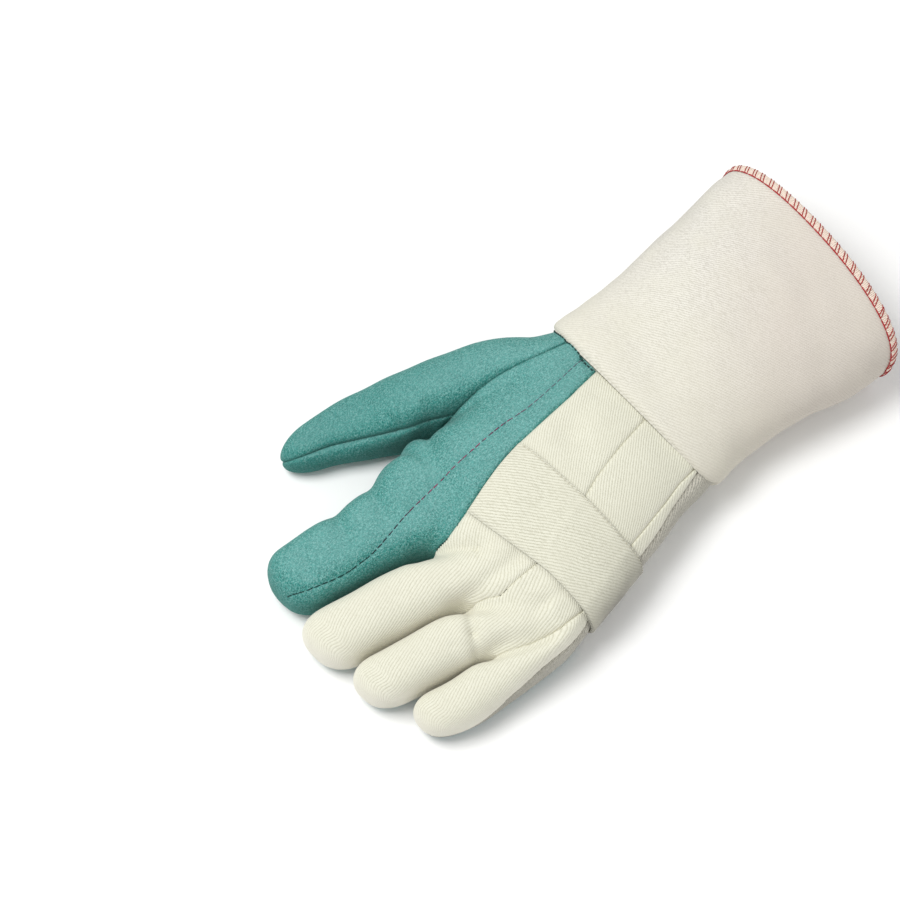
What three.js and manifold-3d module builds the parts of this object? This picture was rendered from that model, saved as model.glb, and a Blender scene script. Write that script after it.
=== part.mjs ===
import * as THREE from "three";
import { mergeVertices } from "three/addons/utils/BufferGeometryUtils.js";
import Module from "manifold-3d";

// A gauntlet work glove for the left hand, lying palm down: fleece palm, index finger and thumb, twill back
// strips, a knuckle strap across them, and a flared gauntlet cuff with an overlocked rim.
// Millimetres, +Z up, +Y towards the fingertips, +X towards the thumb.
// The origin is on the surface that the glove lies on, under the middle of its outline.
// The tables are in a plan of their own, which is moved onto the origin at the very end.

// Cloth thicknesses, and the clearance between neighbouring pieces
const HAND_WALL = 3; // two napped layers
const CUFF_WALL = 2;
const STRAP_THICKNESS = 1.5;
const BINDING_THICKNESS = 0.6;
const BINDING_WIDTH = 2.9;
const GAP = 0.3;
const FINGER_GAP = 0.8;
const WELD = 1e-4; // corners nearer than this are one corner

// Seams that run round the hand
const SIDE_SEAM = 5; // height of the seam between back strips and palm
const STRAP_END = 6; // height of the knuckle strap's end on the little finger's side

// Cloth sections: an oval, flat where it rests
const ROUNDNESS = 2.25; // exponent of the oval, where 2 is an ellipse
const ROOT_ROUNDNESS = 2.7; // the same at the finger roots, where the fingers press on each other
const ROOT_END = 122; // place along the fingers where their section is the plain oval
const TIP_ROUNDNESS = 2.4; // the same for the outline of a fingertip
const BELLY = 0.46; // height of the widest place, as a share of the whole height
const SAG = 1.18; // how far the lower half would reach below the flat underside
const BOW_SHARE = 0.6; // how the bow of the wrist seam spreads from the sides to the top
const HAND_SIDES = 30;
const DIGIT_SIDES = 18;
const CUFF_SIDES = 34;

// Hand from the wrist to the finger roots: one row for each section across it.
// slant turns the section in plan, in mm along Y for each mm along X.
const HAND = [
  { y: -46, left: -68.4, right: 37.2, base: 2.6, top: 43, slant: 0 },
  { y: -36, left: -69.4, right: 37.8, base: 2.6, top: 44.6, slant: 0 },
  { y: -25, left: -71, right: 39.6, base: 1.2, top: 46, slant: 0 },
  { y: -12, left: -72.2, right: 39.6, base: 0, top: 49, slant: 0 },
  { y: 10, left: -76, right: 39, base: 0, top: 50, slant: 0 },
  { y: 30, left: -78.8, right: 38.6, base: 0, top: 49.5, slant: 0 },
  { y: 48, left: -81.4, right: 42, base: 0, top: 47.5, slant: 0 },
  { y: 62, left: -84, right: 45, base: 0, top: 43.5, slant: -0.06 },
  { y: 75, left: -84, right: 42, base: 0, top: 38.5, slant: -0.14 },
  { y: 86, left: -81, right: 38, base: 1, top: 33, slant: -0.22 },
  { y: 94, left: -74, right: 30, base: 6, top: 25, slant: -0.26 },
];

// Lines between the fingers, seen from above: one row for each section across them
const FINGER_LINES = [
  { y: 62, ulnar: -82.5, ring: -72.5, middle: -46, index: -12, thumb: 40 },
  { y: 76, ulnar: -84, ring: -73.5, middle: -44.5, index: -10.5, thumb: 42 },
  { y: 88, ulnar: -84, ring: -71, middle: -41.5, index: -7, thumb: 39.4 },
  { y: 98, ulnar: -83.2, ring: -65.5, middle: -35.2, index: -2.5, thumb: 39.4 },
  { y: 110, ulnar: -82, ring: -59, middle: -30.6, index: 2, thumb: 41.2 },
  { y: 126, ulnar: -79.8, ring: -55, middle: -26.6, index: 6, thumb: 44.4 },
  { y: 142, ulnar: -75.4, ring: -50.5, middle: -22.6, index: 10, thumb: 46.4 },
  { y: 162, ulnar: -73, ring: -45, middle: -17.6, index: 14.5, thumb: 45 },
];

// Fingers between those lines: tip is where each one ends, round how far its rounding reaches back,
// and top and tipTop its height at the root and at the tip
const FINGERS = {
  index: { left: "index", right: "thumb", tip: 154.4, round: 15.5, top: 40, tipTop: 28.4 },
  middle: { left: "middle", right: "index", tip: 161.2, round: 16.5, top: 38.5, tipTop: 28.2 },
  ring: { left: "ring", right: "middle", tip: 158, round: 16, top: 36.5, tipTop: 27.5 },
  little: { left: "ulnar", right: "ring", tip: 148.4, round: 16.5, top: 33.5, tipTop: 23.4 },
};
const FINGER_STEPS = 6; // sections along the straight stretch
const TIP_STEPS = 4; // sections round the tip
const TIP_FLAT = 0.25; // share of a step left flat at its very end

// Thumb: one row for each place along its middle line, from inside the hand to the tip.
// seam is where its seam runs, in degrees from the top towards the index finger.
const THUMB = [
  { x: 23.4, y: -15, width: 39, top: 42.4, seam: 60 },
  { x: 37.4, y: -0.3, width: 38.8, top: 41.5, seam: 62 },
  { x: 55.3, y: 41.4, width: 38.2, top: 38.6, seam: 52 },
  { x: 74.9, y: 79.3, width: 29.5, top: 25, seam: 48 },
  { x: 82.3, y: 106.3, width: 15.5, top: 19.5, seam: 30 },
];
const THUMB_ROUND = 17;
const THUMB_STEPS = 8;

// Gauntlet cuff from the wrist seam to the rim: one row for each section.
// bow moves the top of a section towards the fingers.
const CUFF = [
  { y: -36.5, left: -72, right: 41, base: 0, top: 49.1, bow: 11.6, slant: -0.03 },
  { y: -56, left: -72.6, right: 39.2, base: 0, top: 52.3, bow: 8.8, slant: -0.03 },
  { y: -80, left: -74.6, right: 38.4, base: 0, top: 56.4, bow: 4.8, slant: -0.05 },
  { y: -104, left: -78.9, right: 38.3, base: 0, top: 60.4, bow: 0.5, slant: -0.07 },
  { y: -128, left: -84.4, right: 38.7, base: 0.6, top: 64.2, bow: -2.8, slant: -0.11 },
  { y: -144.8, left: -87.5, right: 39.6, base: 1.1, top: 66.4, bow: -5.2, slant: -0.12 },
];

// Seams on the back of the hand, seen from above, from inside the cuff to the finger lines
const FLEECE_SEAM = [
  [3.6, -60], [3.2, -27], [0.6, -6], [0, 12],
  [-0.5, 30], [-4.4, 55], [-7.3, 70], [-8.6, 81],
];
const MIDDLE_SEAM = [
  [-29, -60], [-31.2, -24], [-34.6, -3], [-38.2, 15],
  [-41.8, 26], [-48.4, 60], [-45.9, 83],
];
const RING_SEAM = [
  [-60, -60], [-62.2, -29], [-63.4, -16], [-66, -4],
  [-68.8, 13], [-70.4, 24], [-77, 60], [-76.2, 73],
];
const THUMB_LINE = [
  [22, -60], [24.2, -30], [27.4, -16], [31.6, -3],
  [34.6, 7.5], [36.6, 18.4], [38, 33], [40.7, 46],
];
const THUMB_LINE_END = [[46.5, 60], [50, 76], [56, 110], [64, 200]];

// Side seam between the little finger's strip and the strip under it: inner limit of the lower strip
// seen from above, and height of the seam along the glove
const SIDE_STRIP_LIMIT = [[-58, -60], [-60, -15], [-66, 20], [-74, 62], [-74, 90], [-70, 112], [-66, 140]];
const SIDE_STRIP_HEIGHT = [
  [-60, 33], [-20, 32.5], [-4, 32], [21, 29],
  [60, 25.5], [90, 22], [110, 16], [132, 8],
];

// Edges of the knuckle strap, seen from above, from the fleece seam to the little finger's side
const STRAP_WRIST_EDGE = [
  [0.2, 28.4], [-9, 27], [-29, 25.9], [-48.5, 24.8],
  [-66, 24.2], [-74, 22.8], [-100, 20.5],
];
const STRAP_FINGER_EDGE = [
  [-6.8, 67.6], [-20, 66.3], [-31.4, 64.7], [-44, 62.7],
  [-54.6, 61.2], [-77, 60.2], [-100, 61],
];

// Soft folds pressed into the upper side: a line seen from above, and the fold's width and depth
const FOLDS = [
  { from: [-5, 96], to: [-22, 75], width: 5, depth: 2.6 }, // between the index and middle fingers
  { from: [-34, 100], to: [-47, 82], width: 4.5, depth: 2.2 }, // between the middle and ring fingers
  { from: [-62, 102], to: [-75, 80], width: 4.5, depth: 1.8 }, // between the ring and little fingers
  { from: [-39.5, 66], to: [-37.4, 85], width: 5, depth: 1.2 }, // along the root of the middle finger
  { from: [-44, 94], to: [-64, 78], width: 6, depth: 1.8 }, // across the root of the ring finger
  { from: [-38, 97], to: [-52, 106], width: 4.5, depth: 1.6 }, // beside it, on the ring finger
  { from: [38, 88], to: [18, 95], width: 5, depth: 1.4 }, // first bend of the index finger
  { from: [40, 109], to: [24, 116], width: 5, depth: 1.4 }, // second bend of the index finger
  { from: [37, 38], to: [41, 48], width: 5, depth: 2.4 }, // crook of the thumb
  { from: [41, 50], to: [30, 54], width: 4, depth: 1.6 }, // crease that runs out of the crook
  { from: [-7, -14], to: [-12, 8], width: 6, depth: 1.2 }, // on the back near the wrist
];

// Middle of the outline that the tables give; the finished glove has it at the origin
const OUTLINE_MIDDLE = { x: 0.4, y: 2.5 };

// Reach of the blocks that cut the cloth into its pieces
const BLOCK = { low: -5, high: 90, side: 130, digit: 60, back: -70, front: 210 };

const wasm = await Module();
wasm.setup();

// A closed geometry as a solid that can be joined and cut
function solid(geometry) {
  const bare = geometry.clone();
  bare.deleteAttribute("normal");
  bare.deleteAttribute("uv");
  const merged = mergeVertices(bare, WELD);
  return new wasm.Manifold(
    new wasm.Mesh({
      numProp: 3,
      vertProperties: new Float32Array(merged.attributes.position.array),
      triVerts: new Uint32Array(merged.index.array),
    }),
  );
}

// A solid as a named mesh
function mesh(name, made, material) {
  const shape = made.getMesh();
  const geometry = new THREE.BufferGeometry();
  geometry.setAttribute("position", new THREE.BufferAttribute(shape.vertProperties, 3));
  geometry.setIndex(new THREE.BufferAttribute(shape.triVerts, 1));
  geometry.computeVertexNormals();
  const named = new THREE.Mesh(geometry, material);
  named.name = name;
  return named;
}

// How deep the folds press the cloth at a place seen from above
function foldDepth(x, y) {
  return FOLDS.reduce((sum, { from, to, width, depth }) => {
    const line = new THREE.Vector2(to[0] - from[0], to[1] - from[1]);
    const place = new THREE.Vector2(x - from[0], y - from[1]);
    const share = THREE.MathUtils.clamp(place.dot(line) / line.lengthSq(), 0, 1);
    const away = place.sub(line.multiplyScalar(share)).length();
    return sum + depth * Math.exp(-((away / width) ** 2));
  }, 0);
}

// One cloth section: its points across and up, and how near each is to the top, from 0 to 1.
// offset grows the section all round, and full shrinks it to its middle at a rounded tip.
function section(sides, { left, right, base, top, roundness = ROUNDNESS }, offset, full = 1) {
  const widest = base + (top - base) * BELLY;
  const halfWidth = ((right - left) / 2 + offset) * full;
  const rise = (top - widest + offset) * full;
  const drop = ((widest - base) * SAG + offset) * full;
  const points = [];
  for (let i = 0; i < sides; i++) {
    const angle = (2 * Math.PI * i) / sides;
    const [c, s] = [Math.cos(angle), Math.sin(angle)];
    const x = (left + right) / 2 - Math.sign(c) * Math.abs(c) ** (2 / roundness) * halfWidth;
    const lift = Math.sign(s) * Math.abs(s) ** (2 / roundness);
    const z = Math.max(widest + lift * (s > 0 ? rise : drop), base - offset);
    points.push({ x, z, upper: Math.max(lift, 0) });
  }
  return points;
}

// A body through rings of points that turn anticlockwise seen from behind the last ring.
// It has flat ends, or joins its last ring to its first where it runs round in a circle.
function loft(rings, { closed = false } = {}) {
  const sides = rings[0].length;
  const positions = rings.flat().flatMap((p) => [p.x, p.y, p.z]);
  const faces = [];
  for (let r = 0; r < rings.length - (closed ? 0 : 1); r++) {
    const [near, far] = [r * sides, ((r + 1) % rings.length) * sides];
    for (let i = 0; i < sides; i++) {
      const next = (i + 1) % sides;
      faces.push(near + i, near + next, far + next, near + i, far + next, far + i);
    }
  }
  for (const [ring, first] of closed ? [] : [[rings[0], 0], [rings.at(-1), (rings.length - 1) * sides]]) {
    const middle = positions.length / 3;
    const centre = ring.reduce((sum, p) => sum.add(p), new THREE.Vector3()).divideScalar(sides);
    positions.push(centre.x, centre.y, centre.z);
    for (let i = 0; i < sides; i++) {
      const next = (i + 1) % sides;
      faces.push(...(first ? [first + i, first + next, middle] : [next, i, middle]));
    }
  }
  const geometry = new THREE.BufferGeometry();
  geometry.setAttribute("position", new THREE.Float32BufferAttribute(positions, 3));
  geometry.setIndex(faces);
  return solid(geometry);
}

// The hand without its digits, grown by offset; reach is how far its open wrist end runs on
function handBody(offset, reach) {
  const last = HAND.length - 1;
  const rings = HAND.map((row, index) => {
    const middle = (row.left + row.right) / 2;
    const end = index === 0 ? -reach : index === last ? offset : 0;
    return section(HAND_SIDES, row, offset).map(({ x, z, upper }) => {
      const y = row.y + end + row.slant * (x - middle);
      return new THREE.Vector3(x, y, z - foldDepth(x, y) * upper);
    });
  });
  return loft(rings);
}

// The row of a table at any place along the glove, between its own rows
function rowAt(table, y) {
  const past = (row) => (table.at(-1).y > table[0].y ? row.y >= y : row.y <= y);
  const next = Math.max(table.findIndex(past), 1);
  const [near, far] = [table[next - 1], table[next]];
  const share = (y - near.y) / (far.y - near.y);
  return Object.fromEntries(
    Object.keys(near).map((key) => [key, THREE.MathUtils.lerp(near[key], far[key], share)]),
  );
}

// Places along a digit and how full it is there: even steps, then closer ones round the tip
function stations(start, end, round, offset, steps) {
  const straight = end - round;
  const list = [];
  for (let i = 0; i < steps; i++) {
    list.push({ along: start + ((straight - start) * i) / (steps - 1), full: 1 });
  }
  for (let i = 1; i <= TIP_STEPS; i++) {
    const reach = Math.sin((Math.PI / 2) * (i / (TIP_STEPS + TIP_FLAT)));
    const full = (1 - reach ** TIP_ROUNDNESS) ** (1 / TIP_ROUNDNESS);
    list.push({ along: straight + reach * (round + offset), full });
  }
  return list;
}

// One finger between its two lines, grown by offset
function fingerBody({ left, right, tip, round, top, tipTop }, offset) {
  const start = FINGER_LINES[0].y;
  const rings = stations(start, tip, round, offset, FINGER_STEPS).map(({ along, full }) => {
    const lines = rowAt(FINGER_LINES, along);
    const near = Math.min(along, ROOT_END);
    const row = {
      left: lines[left] + FINGER_GAP / 2,
      right: lines[right] - FINGER_GAP / 2,
      base: 0,
      top: top + ((tipTop - top) * (along - start)) / (tip - start),
      roundness: THREE.MathUtils.mapLinear(near, start, ROOT_END, ROOT_ROUNDNESS, ROUNDNESS),
    };
    return section(DIGIT_SIDES, row, offset, full).map(
      ({ x, z, upper }) => new THREE.Vector3(x, along, z - foldDepth(x, along) * upper),
    );
  });
  return loft(rings);
}

// The thumb along its middle line, grown by offset
function thumbBody(offset) {
  const line = new THREE.CatmullRomCurve3(THUMB.map(({ x, y }) => new THREE.Vector3(x, y, 0)));
  const sizes = new THREE.CatmullRomCurve3(THUMB.map(({ width, top }) => new THREE.Vector3(width, top, 0)));
  const length = line.getLength();
  const rings = stations(0, length, THUMB_ROUND, offset, THUMB_STEPS).map(({ along, full }) => {
    const share = Math.min(along / length, 1);
    const ahead = line.getTangentAt(share);
    const across = new THREE.Vector3(ahead.y, -ahead.x, 0);
    const centre = line.getPointAt(share).addScaledVector(ahead, Math.max(along - length, 0));
    const { x: width, y: top } = sizes.getPoint(share);
    const row = { left: -width / 2, right: width / 2, base: 0, top };
    return section(DIGIT_SIDES, row, offset, full).map(({ x, z, upper }) => {
      const point = centre.clone().addScaledVector(across, x);
      return point.setZ(z - foldDepth(point.x, point.y) * upper);
    });
  });
  return loft(rings);
}

// The space of the thumb's inner half, beside the index finger: it lies on one side of a slanted face
// that runs along the thumb's middle. spare widens it.
function thumbInnerSpace(spare) {
  const middle = THUMB.map(({ x, y, top }) => new THREE.Vector3(x, y, top * BELLY));
  const line = new THREE.CatmullRomCurve3(middle);
  const seams = new THREE.CatmullRomCurve3(THUMB.map(({ seam }) => new THREE.Vector3(seam, 0, 0)));
  const places = Array.from({ length: THUMB_STEPS }, (_, i) => i / (THUMB_STEPS - 1));
  const rings = places.map((share) => {
    const turn = THREE.MathUtils.degToRad(seams.getPoint(share).x);
    const ahead = line.getTangentAt(share).setZ(0).normalize();
    const across = new THREE.Vector3(ahead.y, -ahead.x, 0);
    const up = new THREE.Vector3(0, 0, Math.cos(turn)).addScaledVector(across, -Math.sin(turn));
    const inward = new THREE.Vector3(0, 0, -Math.sin(turn)).addScaledVector(across, -Math.cos(turn));
    const past = share === 0 ? -BLOCK.digit : share === 1 ? BLOCK.digit : 0;
    const centre = line.getPointAt(share).addScaledVector(ahead, past).addScaledVector(inward, -spare);
    const corner = (rise, depth) =>
      centre.clone().addScaledVector(up, rise * BLOCK.digit).addScaledVector(inward, depth * BLOCK.digit);
    return [corner(1, 1), corner(1, 0), corner(-1, 0), corner(-1, 1)];
  });
  return loft(rings);
}

// The whole hand with its digits, grown by offset
function hull(offset, reach = 0) {
  return Object.values(FINGERS)
    .map((finger) => fingerBody(finger, offset))
    .reduce((sum, finger) => sum.add(finger), handBody(offset, reach).add(thumbBody(offset)));
}

// A line seen from above, moved sideways: to its right for a positive distance
function shifted(line, distance) {
  return line.map((point, i) => {
    const [before, after] = [line[Math.max(i - 1, 0)], line[Math.min(i + 1, line.length - 1)]];
    const along = new THREE.Vector2(after[0] - before[0], after[1] - before[1]).normalize();
    return [point[0] + along.y * distance, point[1] - along.x * distance];
  });
}

// An upright block over an outline seen from above
function block(outline, low = BLOCK.low, high = BLOCK.high) {
  const shape = new THREE.Shape(outline.map(([x, y]) => new THREE.Vector2(x, y)));
  const geometry = new THREE.ExtrudeGeometry(shape, { depth: high - low, bevelEnabled: false });
  return solid(geometry.translate(0, 0, low));
}

// The block between two seams that both run from the wrist to the fingertips, half a gap clear of each
function between(leftSeam, rightSeam, low, high) {
  const outline = [...shifted(leftSeam, GAP / 2), ...shifted(rightSeam, -GAP / 2).reverse()];
  return block(outline, low, high);
}

// The finger's stretch of a seam
function fingerStretch(key) {
  return FINGER_LINES.slice(2).map((row) => [row[key], row.y]);
}

const seams = {
  farLeft: [[-BLOCK.side, BLOCK.back], [-BLOCK.side, BLOCK.front]],
  ring: [...RING_SEAM, ...fingerStretch("ring"), [-38, BLOCK.front]],
  middle: [...MIDDLE_SEAM, ...fingerStretch("middle"), [-10, BLOCK.front]],
  fleece: [...FLEECE_SEAM, ...fingerStretch("index"), [22, BLOCK.front]],
  thumb: [...THUMB_LINE, ...THUMB_LINE_END],
  farRight: [[BLOCK.side, BLOCK.back], [BLOCK.side, BLOCK.front]],
};

// The space of the lower strip on the little finger's side; spare widens it
function sideStripSpace(spare) {
  const plan = block([...seams.farLeft, ...shifted(SIDE_STRIP_LIMIT, spare).reverse()]);
  const [first, last] = [SIDE_STRIP_LIMIT[0][1], SIDE_STRIP_LIMIT.at(-1)[1]];
  const profile = [...SIDE_STRIP_HEIGHT.map(([y, z]) => [y, z + spare]), [last, 0], [first, 0]];
  const shape = new THREE.Shape(profile.map(([y, z]) => new THREE.Vector2(y, z)));
  const geometry = new THREE.ExtrudeGeometry(shape, { depth: BLOCK.side, bevelEnabled: false });
  const toSide = new THREE.Matrix4().makeBasis(
    new THREE.Vector3(0, 1, 0),
    new THREE.Vector3(0, 0, 1),
    new THREE.Vector3(1, 0, 0),
  );
  return plan.intersect(solid(geometry.applyMatrix4(toSide).translate(-BLOCK.side, 0, 0)));
}

// A band of cloth that runs round the cuff: profile gives, for each of its corners, the row of the cuff's
// table, how far the corner stands off the cuff's outer face, and how far it lies past that row
function hoop(profile) {
  const loops = profile.map(({ row, offset, past = 0 }) => {
    const middle = (row.left + row.right) / 2;
    return section(CUFF_SIDES, row, offset).map(
      ({ x, z, upper }) =>
        new THREE.Vector3(x, row.y - past + row.slant * (x - middle) + row.bow * upper ** BOW_SHARE, z),
    );
  });
  return loft(loops, { closed: true });
}

const cuffProfile = [
  ...CUFF.map((row) => ({ row, offset: -CUFF_WALL })),
  ...CUFF.toReversed().map((row) => ({ row, offset: 0 })),
];

// The binding folds over the rim's edge, a gap off the cuff on both faces
const rim = CUFF.at(-1);
const bindingEdge = rowAt(CUFF, rim.y + BINDING_WIDTH);
const [clear, proud] = [GAP, GAP + BINDING_THICKNESS];
const bindingProfile = [
  { row: rim, offset: clear, past: clear },
  { row: rim, offset: -CUFF_WALL - clear, past: clear },
  { row: bindingEdge, offset: -CUFF_WALL - clear },
  { row: bindingEdge, offset: -CUFF_WALL - proud },
  { row: rim, offset: -CUFF_WALL - proud, past: clear },
  { row: rim, offset: -CUFF_WALL - clear, past: proud },
  { row: rim, offset: clear, past: proud },
  { row: rim, offset: proud, past: clear },
  { row: bindingEdge, offset: proud },
  { row: bindingEdge, offset: clear },
];

// The largest body of a cut, without the shreds that a seam leaves beside it
function largest(made) {
  return made.decompose().reduce((best, body) => (body.volume() > best.volume() ? body : best));
}

const shell = hull(0).subtract(hull(-HAND_WALL, HAND_WALL));
const [underSide, overSide] = [SIDE_SEAM - GAP / 2, SIDE_SEAM + GAP / 2];
const littleSpace = between(seams.farLeft, seams.ring, overSide);
const strapSpace = block([...STRAP_WRIST_EDGE, ...STRAP_FINGER_EDGE.toReversed()], STRAP_END);

const cloth = (color) => new THREE.MeshStandardMaterial({ color, roughness: 0.95, metalness: 0 });
const fleece = cloth(0x3f9484);
const twill = cloth(0xe6e2d2);
const binding = cloth(0xf0dcc8);

const thumbCloth = shell.intersect(between(seams.thumb, seams.farRight));
const littleCloth = shell.intersect(littleSpace);
const strapCloth = hull(GAP + STRAP_THICKNESS).subtract(hull(GAP)).intersect(strapSpace);

const glove = new THREE.Group();
for (const [name, made, material] of [
  ["palm_panel", shell.intersect(between(seams.farLeft, seams.thumb, BLOCK.low, underSide)), fleece],
  ["index_back_panel", shell.intersect(between(seams.fleece, seams.thumb, overSide)), fleece],
  ["thumb_outer", thumbCloth.subtract(thumbInnerSpace(GAP)), fleece],
  ["thumb_inner", thumbCloth.intersect(thumbInnerSpace(0)), fleece],
  ["back_strip_middle", shell.intersect(between(seams.middle, seams.fleece, overSide)), twill],
  ["back_strip_ring", shell.intersect(between(seams.ring, seams.middle, overSide)), twill],
  ["back_strip_little", littleCloth.subtract(sideStripSpace(GAP)), twill],
  ["side_strip", littleCloth.intersect(sideStripSpace(0)), twill],
  ["knuckle_strap", strapCloth, twill],
  ["gauntlet_cuff", hoop(cuffProfile), twill],
  ["rim_binding", hoop(bindingProfile), binding],
]) {
  glove.add(mesh(name, largest(made).translate(-OUTLINE_MIDDLE.x, -OUTLINE_MIDDLE.y, 0), material.clone()));
}

export default glove;
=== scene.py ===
import math

import bpy
import numpy as np
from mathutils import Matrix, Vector


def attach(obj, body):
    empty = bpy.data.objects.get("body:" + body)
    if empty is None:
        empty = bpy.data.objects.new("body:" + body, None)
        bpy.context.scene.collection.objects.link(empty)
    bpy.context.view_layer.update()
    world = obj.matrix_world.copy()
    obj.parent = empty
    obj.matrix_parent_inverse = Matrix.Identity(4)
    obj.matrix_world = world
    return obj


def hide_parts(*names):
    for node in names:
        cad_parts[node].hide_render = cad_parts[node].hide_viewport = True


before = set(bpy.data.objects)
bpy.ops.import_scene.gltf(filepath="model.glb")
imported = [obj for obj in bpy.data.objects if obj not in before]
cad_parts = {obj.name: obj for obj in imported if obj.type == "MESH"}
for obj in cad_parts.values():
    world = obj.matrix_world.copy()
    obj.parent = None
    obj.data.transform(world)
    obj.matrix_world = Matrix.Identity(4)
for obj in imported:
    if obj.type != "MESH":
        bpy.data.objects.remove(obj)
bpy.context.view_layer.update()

# Everything is worked out in millimetres, with +Y towards the fingertips and +X towards the thumb
MM = 0.001
OUTLINE_MIDDLE = np.array([0.4, 2.5, 0.0])  # of the tables' plan; the finished glove has it at the origin
STEP = 1.05  # spacing of the grid that the hand is shaped on
RNG = np.random.default_rng(11)

# Cloth
HAND_WALL = 3
CUFF_WALL = 2
CUFF_TUCK = (2.5, 3.4)  # depth and length of the cuff's tucked-in wrist edge
STRAP_THICKNESS = 1.5
STRAP_ROLL = 0.9  # how far its rounded edge reaches in
BINDING_WIDTH = 2.9
SEAM_GAP = 0.05  # half the gap between two pieces
SEAM_ROUND = 1.1  # how softly a piece's edge rolls into its seam
UNEVEN = 0.22  # how far the stuffing moves the cloth, about
SIDE_SEAM = 5
SIDE_SEAM_RISE = 1.8  # more at the wrist, where the underside rises
STRAP_END = 6
RIB_PITCH = 1.3
RIB_TURN = math.radians(31)  # ribs of the twill against its warp
RIB_DRIFT, RIB_WOBBLE = 1.6, 0.5  # how far the ribs stray in the large and in the small
YARN_PITCH = 0.95
OVERLOCK_PITCH = 0.75
OVERLOCK_PAIR = 5.4  # from one pair of red threads to the next, about

# Sections, as in the part's source, with fuller fingers
ROUNDNESS = 2.25
ROOT_ROUNDNESS = 2.8
FINGER_ROUNDNESS = 2.6
ROOT_END = 122
TIP_ROUNDNESS = 2.4
BELLY = 0.46
SAG = 1.18
BOW_SHARE = 0.6
FLOOR_ROUND = 1.6  # how softly a side turns into the flat underside
CUFF_FLOOR_ROUND = 3
SECTION = (1, 2, 3, 4)  # columns of left, right, base and top in the tables of hand and cuff

# y, left, right, base, top, slant
HAND = np.array([
    (-46, -68.4, 37.2, 2.6, 43, 0),
    (-36, -69.4, 37.8, 2.6, 44.6, 0),
    (-25, -71, 39.6, 1.2, 46, 0),
    (-12, -72.2, 39.6, 0, 49, 0),
    (10, -76, 39, 0, 50, 0),
    (30, -78.8, 38.6, 0, 49.5, 0),
    (48, -81.4, 42, 0, 47.5, 0),
    (62, -84, 45, 0, 43.5, -0.06),
    (75, -84, 42, 0, 38.5, -0.14),
    (86, -81, 38, 1, 33, -0.22),
    (94, -74, 30, 6, 25, -0.26),
])

# y, then the lines between the fingers from the little finger's side to the thumb's
FINGER_LINES = np.array([
    (62, -82.5, -72.5, -46, -12, 40),
    (76, -84, -73.5, -44.5, -10.5, 42),
    (88, -84, -71, -41.5, -7, 39.4),
    (98, -83.2, -65.5, -35.2, -2.5, 39.4),
    (110, -82, -59, -30.6, 2, 41.2),
    (126, -79.8, -55, -26.6, 6, 44.4),
    (142, -75.4, -50.5, -22.6, 10, 46.4),
    (162, -73, -45, -17.6, 14.5, 45),
])
ULNAR, RING, MIDDLE, INDEX, THUMB_SIDE = 1, 2, 3, 4, 5
FINGER_GAP = 0.8
FINGER_START = FINGER_LINES[0, 0]

# left line, right line, tip, round, top, tip's top
FINGERS = {
    "index": (INDEX, THUMB_SIDE, 154.4, 15.5, 40, 28.4),
    "middle": (MIDDLE, INDEX, 161.2, 16.5, 38.5, 28.2),
    "ring": (RING, MIDDLE, 158, 16, 36.5, 27.5),
    "little": (ULNAR, RING, 148.4, 16.5, 33.5, 23.4),
}

# x, y, width, top, seam in degrees
THUMB = np.array([
    (23.4, -15, 39, 42.4, 60),
    (37.4, -0.3, 38.8, 41.5, 62),
    (55.3, 41.4, 38.2, 38.6, 52),
    (74.9, 79.3, 29.5, 25, 48),
    (82.3, 106.3, 15.5, 19.5, 30),
])
THUMB_ROUND = 17

# y, left, right, base, top, bow, slant
CUFF = np.array([
    (-36.5, -72, 41, 0, 49.1, 11.6, -0.03),
    (-56, -72.6, 39.2, 0, 52.3, 8.8, -0.03),
    (-80, -74.6, 38.4, 0, 56.4, 4.8, -0.05),
    (-104, -78.9, 38.3, 0, 60.4, 0.5, -0.07),
    (-128, -84.4, 38.7, 0.6, 64.2, -2.8, -0.11),
    (-144.8, -87.5, 39.6, 1.1, 66.4, -5.2, -0.12),
])

# Seams seen from above, from the wrist to the fingertips: y, x
FLEECE_SEAM = [(-60, 3.6), (-27, 3.2), (-6, 0.6), (12, 0), (30, -0.5), (55, -4.4), (70, -7.3), (81, -8.6)]
MIDDLE_SEAM = [(-60, -29), (-24, -31.2), (-3, -34.6), (15, -38.2), (26, -41.8), (60, -48.4), (83, -45.9)]
RING_SEAM = [(-60, -60), (-29, -62.2), (-16, -63.4), (-4, -66), (13, -68.8), (24, -70.4), (60, -77),
             (73, -76.2)]
THUMB_LINE = [(-60, 22), (-30, 24.2), (-16, 27.4), (-3, 31.6), (7.5, 34.6), (18.4, 36.6), (33, 38),
              (46, 40.7), (60, 46.5), (76, 50), (110, 56), (200, 64)]
SIDE_STRIP_LIMIT = [(-60, -58), (-15, -60), (20, -66), (62, -74), (90, -74), (112, -70), (140, -66)]
# Height of the side strip's upper seam: y, z
SIDE_STRIP_HEIGHT = [(-60, 33), (-20, 32.5), (-4, 32), (21, 29), (60, 25.5), (90, 22), (110, 16), (132, 8)]
# Edges of the strap: x, y
STRAP_WRIST_EDGE = [(-100, 20.5), (-74, 22.8), (-66, 24.2), (-48.5, 24.8), (-29, 25.9), (-9, 27), (0.2, 28.4)]
STRAP_FINGER_EDGE = [(-100, 61), (-77, 60.2), (-54.6, 61.2), (-44, 62.7), (-31.4, 64.7), (-20, 66.3),
                     (-6.8, 67.6)]

# Red quilting lines: y, x
BACK_QUILT = [(-32, 12.2), (-20, 11.7), (-8, 10.6), (10, 10.2), (28, 12.4), (45, 12.8), (72, 13), (90, 12.3),
              (104, 10.8), (111, 10.5), (117, 11.1), (126, 12.5), (136, 15.4), (146, 19.6), (153, 25)]
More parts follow.
